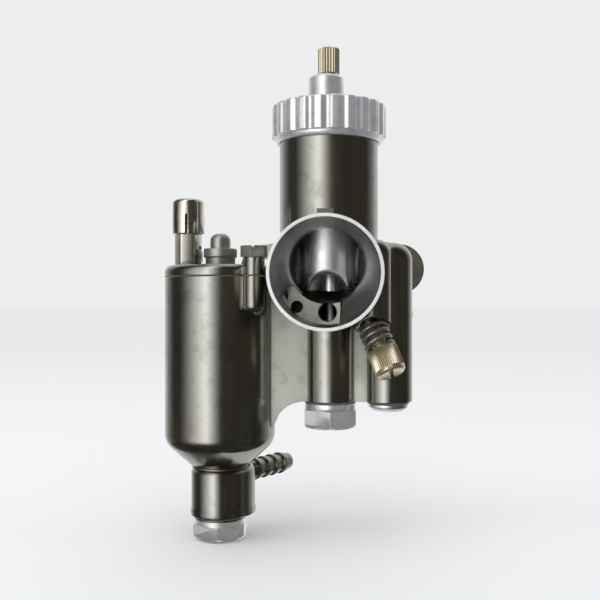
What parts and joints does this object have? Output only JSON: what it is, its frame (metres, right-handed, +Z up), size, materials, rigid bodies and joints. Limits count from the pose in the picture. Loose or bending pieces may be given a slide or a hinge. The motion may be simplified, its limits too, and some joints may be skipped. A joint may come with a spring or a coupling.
{
  "type": "carburetor",
  "caption": "Slide carburetor with an intake bell, a side float bowl, a fluted cap nut, a banjo fuel inlet and a stud flange.",
  "frame": {"origin": "middle of the outlet bore on the flange face", "axes": "+Y out of the outlet bore into the engine, +Z up along the mixing chamber, +X away from the float bowl"},
  "size_m": [0.0902, 0.0663, 0.1652],
  "materials": {
    "dark_casting": "polished dark zinc alloy",
    "bright_aluminium": "turned, satin",
    "pale_brass": "nickel-washed brass, knurled",
    "yellow_brass": "turned",
    "steel": "satin",
    "spring_steel": "drawn wire",
    "old_zinc": "matt, weathered plating",
    "chrome": "polished",
    "gasket_fibre": "oiled fibre",
    "copper": "annealed"
  },
  "bodies": {
    "carburetor_body": {"body_casting": "dark_casting", "chamber_cap": "bright_aluminium", "cap_ring_nut": "bright_aluminium", "slide_guide_pin": "steel", "slide_spring": "spring_steel", "needle_jet": "yellow_brass", "main_jet": "yellow_brass", "jet_well_plug": "bright_aluminium", "jet_well_washer": "gasket_fibre", "idle_jet": "yellow_brass", "idle_well_plug": "steel", "idle_well_washer": "gasket_fibre", "stop_screw_spring": "spring_steel", "air_screw_spring": "spring_steel", "bowl_lid": "dark_casting", "lid_gasket": "gasket_fibre", "lid_screws": "old_zinc", "needle_guide_cap": "old_zinc", "tickler_post": "chrome", "tickler_spring": "spring_steel", "needle_seat": "yellow_brass", "banjo_union": "dark_casting", "banjo_washers": "copper", "banjo_bolt": "bright_aluminium", "fuel_strainer": "yellow_brass"},
    "throttle": {"throttle_slide": "steel", "jet_needle": "steel", "needle_clip": "spring_steel"},
    "tickler": {"tickler_button": "chrome"},
    "float_group": {"float": "yellow_brass", "float_needle": "steel", "float_clip": "yellow_brass"},
    "adjuster": {"cable_adjuster": "pale_brass"},
    "stop_screw": {"throttle_stop_screw": "pale_brass"},
    "idle_air_screw": {"air_screw": "pale_brass"}
  },
  "joints": [
    {"name": "throttle_slide_lift", "type": "slide", "parent": "carburetor_body", "child": "throttle", "axis": [0, 0, 1], "range_m": [0, 0.018], "stiffness_N_per_m": 150, "springref_m": -0.02, "deforming": ["slide_spring"]},
    {"name": "tickler_press", "type": "slide", "parent": "carburetor_body", "child": "tickler", "axis": [0, 0, -1], "range_m": [0, 0.004], "stiffness_N_per_m": 150, "springref_m": -0.004, "deforming": ["tickler_spring"]},
    {"name": "float_rise", "type": "slide", "parent": "carburetor_body", "child": "float_group", "axis": [0, 0, 1], "range_m": [0, 0.0025]},
    {"name": "cable_adjuster_turn", "type": "hinge", "parent": "carburetor_body", "child": "adjuster", "pos_m": [0, -0.035, 0.07], "axis": [0, 0, 1], "range_deg": [-720, 720]},
    {"name": "stop_screw_turn", "type": "hinge", "parent": "carburetor_body", "child": "stop_screw", "pos_m": [0.01926, -0.05277, -0.03156], "axis": [0.3555, -0.399, -0.8453], "range_deg": [0, 720]},
    {"name": "air_screw_turn", "type": "hinge", "parent": "carburetor_body", "child": "idle_air_screw", "pos_m": [0.0257, -0.02332, -0.0166], "axis": [0.4384, 0.8988, 0], "range_deg": [-540, 540]}
  ]
}
